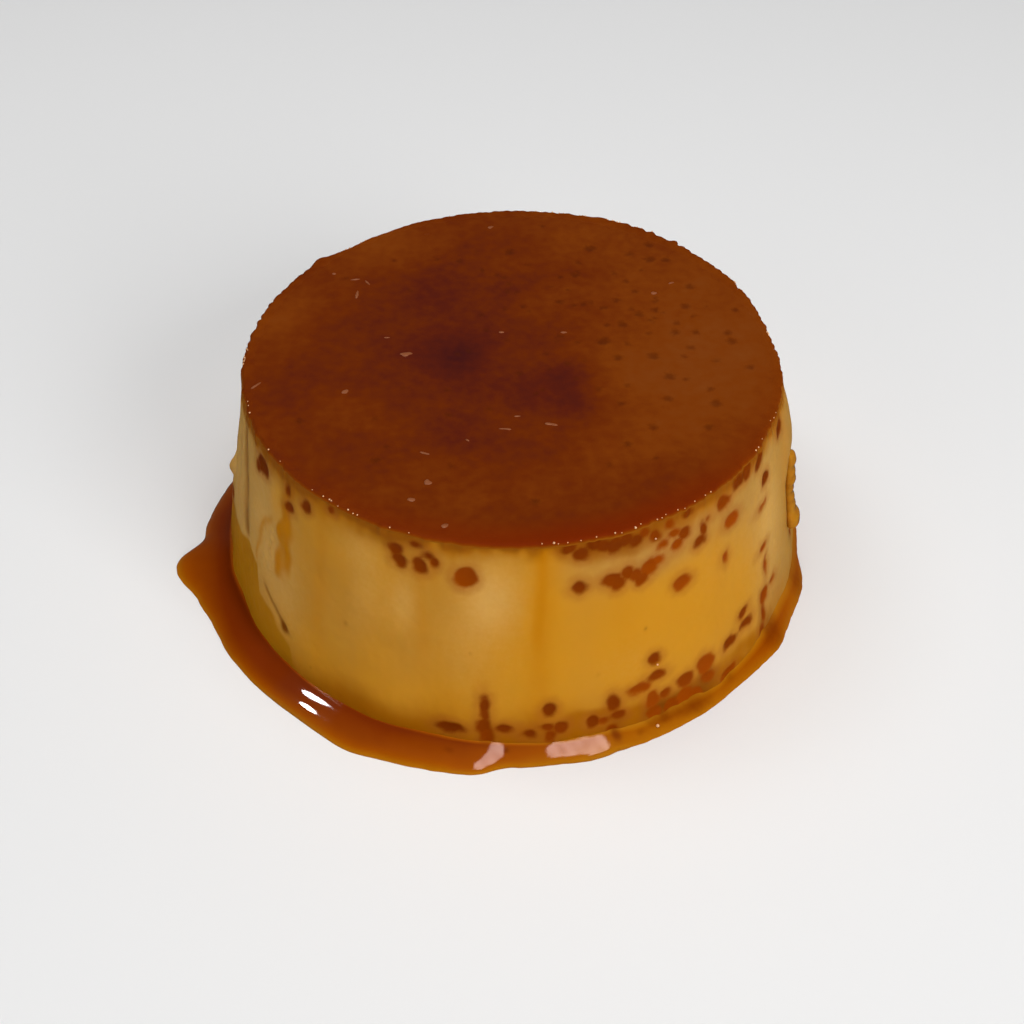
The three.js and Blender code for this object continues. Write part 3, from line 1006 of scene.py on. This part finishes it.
def rim_glint_beads():
    """Tiny beads of syrup on the rounded rim, painted pale as glints: the near ones listed one by
    one, the rest in clusters.
    """
    rng = np.random.default_rng(81)
    beads = list(NEAR_GLINT_BEADS)
    for middle in rng.uniform(-40, 200, BEAD_CLUSTERS):
        for _ in range(rng.integers(2, 7)):
            beads.append((middle + rng.normal(0, 2.5), rng.uniform(0.13, 0.28)))
    shapes = [bead_shape(np.array(middle), size) for *middle, size in LOOSE_GLINT_BEADS]
    for degrees, size in beads:
        angle = np.radians(degrees)
        tilt = rng.uniform(0.5, 1.0)
        height = FLAN_TOP - RIM_ROUND * (1 - np.cos(tilt))
        radius = wall_radius(angle, height) + rim_offset(np.array([angle]))[0]
        radius = radius - RIM_ROUND * (1 - np.sin(tilt))
        shapes.append(bead_shape(round_about(radius, angle, height), size))
    return joined(shapes)


# Pale scraps on the caramel: x, y, length, width, and the turn of the long side.
FLECKS = [
    (-23.6, 19, 1.6, 0.35, 10), (-21.8, 18.2, 1.3, 0.35, -55), (-23.1, 15.2, 2, 0.4, 88),
    (-15.1, 0.8, 1.6, 0.8, 5), (-23.1, -7.8, 1, 0.7, 60), (-27, 20.5, 0.8, 0.4, 0),
    (-35.6, -6.4, 1.5, 0.4, 50), (-6, -17.9, 0.8, 0.3, -40), (-0.8, -15.6, 1.8, 0.35, -5),
    (5.3, -14.6, 1.6, 0.5, -15), (0.8, -12.9, 0.9, 0.3, 0), (-11, -26.2, 1.1, 1, 80),
    (-8.5, -34.4, 1.2, 0.7, 50), (-11.5, -20.6, 1.6, 0.3, -20), (-3.5, 33.2, 1.1, 0.5, 30),
    (-1.6, 6, 0.8, 0.4, 0), (7.5, 6, 0.9, 0.5, 0), (21, 15.7, 1, 0.6, 0),
    (23.8, 18.3, 0.9, 0.4, 20), (-13, -29.6, 0.9, 0.6, 10), (-18, 4.6, 0.8, 0.3, 0),
]


def fleck_shapes():
    """Thin scraps lying on the caramel: flattened beads, drawn out and bent by a ripple."""
    shapes = []
    for number, (x, y, length, width, turn) in enumerate(FLECKS):
        points, faces, _ = bead_shape(np.zeros(3), 1.0, sides=18, rows=8)
        points = points * [length, width, 0.22]
        points[:, :2] *= 1 + 0.18 * ripple(points, 0.9, seed=90 + number, waves=10)[:, None]
        c, s = np.cos(np.radians(turn)), np.sin(np.radians(turn))
        spun = points @ np.array([[c, s, 0], [-s, c, 0], [0, 0, 1]])
        shapes.append((spun + [x, y, FLAN_TOP - 0.045], faces, {}))
    return joined(shapes)


# --- The flan ---

make_piece("custard_body", custard_shape(), custard_finish(), replaces=["custard"])
make_piece("caramel_skin", skin_shape(), caramel_finish(), replaces=["caramel_top"])
make_piece("sauce_pool", pool_shape(), sauce_finish(), replaces=["caramel_pool"])
wall_runs = joined([
    run_shape(-12.4, 24.0, 11.0, 3.0, 1.7, 0.86, seed=1),
    run_shape(24.0, 30.0, 13.0, 1.7, 0.9, 0.25, seed=2),
    run_shape(83.0, 27.0, 6.0, 2.2, 1.1, 0.2, seed=3),
    run_shape(152.0, 31.5, 18.0, 1.9, 1.0, 0.25, seed=4),
])
make_piece("caramel_runs", wall_runs, drip_finish())
# Beads of syrup whose pale colour is a painted glint.
make_piece("rim_glint_beads", rim_glint_beads(), glint_bead_finish())
make_piece("skin_flecks", fleck_shapes(), fleck_finish())


# --- The studio ---


def softbox(name, place, size, power, along=(0, 0, 0), tone=(1, 1, 1), shine=False):
    """A long lamp at a place, facing the flan, its length level or nearest to a direction.

    An oblong lights the flan softly. With shine, an oval is only seen mirrored in what is wet.
    """
    data = bpy.data.lights.new(name, "AREA")
    data.shape = "ELLIPSE" if shine else "RECTANGLE"
    data.size, data.size_y = size
    data.energy = power
    data.color = tone
    away = Vector(place).normalized()
    side = Vector(along) if any(along) else Vector((0, 0, 1)).cross(away)
    side = (side - side.project(away)).normalized()
    facing = Matrix((side, away.cross(side), away)).transposed().to_4x4()
    lamp = bpy.data.objects.new(name, data)
    lamp.matrix_world = Matrix.Translation(place) @ facing
    lamp.visible_glossy = shine
    lamp.visible_diffuse = not shine
    bpy.context.scene.collection.objects.link(lamp)


def floor():
    """A plain pale floor just under the flan, wide enough to fill every view."""
    mesh = bpy.data.meshes.new("floor")
    reach = 4.0
    level = -0.02 * MM
    corners = [(x * reach, y * reach, level) for x, y in ((-1, -1), (1, -1), (1, 1), (-1, 1))]
    mesh.from_pydata(corners, [], [(0, 1, 2, 3)])
    mesh.materials.append(floor_finish())
    table = bpy.data.objects.new("floor", mesh)
    table.visible_glossy = False
    bpy.context.scene.collection.objects.link(table)


def studio():
    """Soft light, most of it from the front right, a dim room, and what the syrup mirrors."""
    world = bpy.data.worlds.new("dim_room")
    world.use_nodes = True
    background = world.node_tree.nodes["Background"]
    background.inputs["Color"].default_value = (1, 1, 1, 1)
    background.inputs["Strength"].default_value = 0.04
    bpy.context.scene.world = world
    softbox("overhead", (0.05, -0.05, 0.75), (0.6, 0.6), 2.1)
    softbox("front_right", (0.5, -0.6, 0.45), (0.45, 0.45), 3.9)
    softbox("front_left", (-0.55, -0.5, 0.4), (0.35, 0.35), 0.4)
    softbox("back_left", (-0.37, 0.16, 0.69), (0.3, 0.3), 0.9)
    softbox("above", (0.043, -0.128, 0.8), (0.34, 0.24), 1.8)
    radially = (0.61, 0.79, 0)
    softbox("streak", (-0.265, 0.286, 0.694), (0.036, 0.056), 0.25, along=radially, shine=True)
    softbox("thin_streak", (-0.332, 0.185, 0.7), (0.076, 0.044), 0.42, along=radially, shine=True)
    pinkish = (1, 0.72, 0.63)
    softbox("window", (0.04, -0.12, 0.75), (0.46, 0.28), 2.6, tone=pinkish, shine=True)


def camera():
    """The camera looks from the front, from 37.8 degrees above the rim's middle."""
    distance, elevation, downwards, roll = 0.228, np.radians(37.82), 43.33, 0.13
    data = bpy.data.cameras.new("camera")
    data.lens = 56.28
    data.sensor_width = 36.0
    data.clip_start = 0.01
    eye = bpy.data.objects.new("camera", data)
    tilt = Matrix.Rotation(np.radians(90 - downwards), 4, "X")
    turn = Matrix.Rotation(np.radians(roll), 4, "Z")
    back, up = distance * np.cos(elevation), distance * np.sin(elevation)
    eye.matrix_world = Matrix.Translation((0, -back, FLAN_TOP * MM + up)) @ tilt @ turn
    bpy.context.scene.collection.objects.link(eye)
    bpy.context.scene.camera = eye


floor()
studio()
camera()
bpy.context.scene.view_settings.view_transform = "Standard"
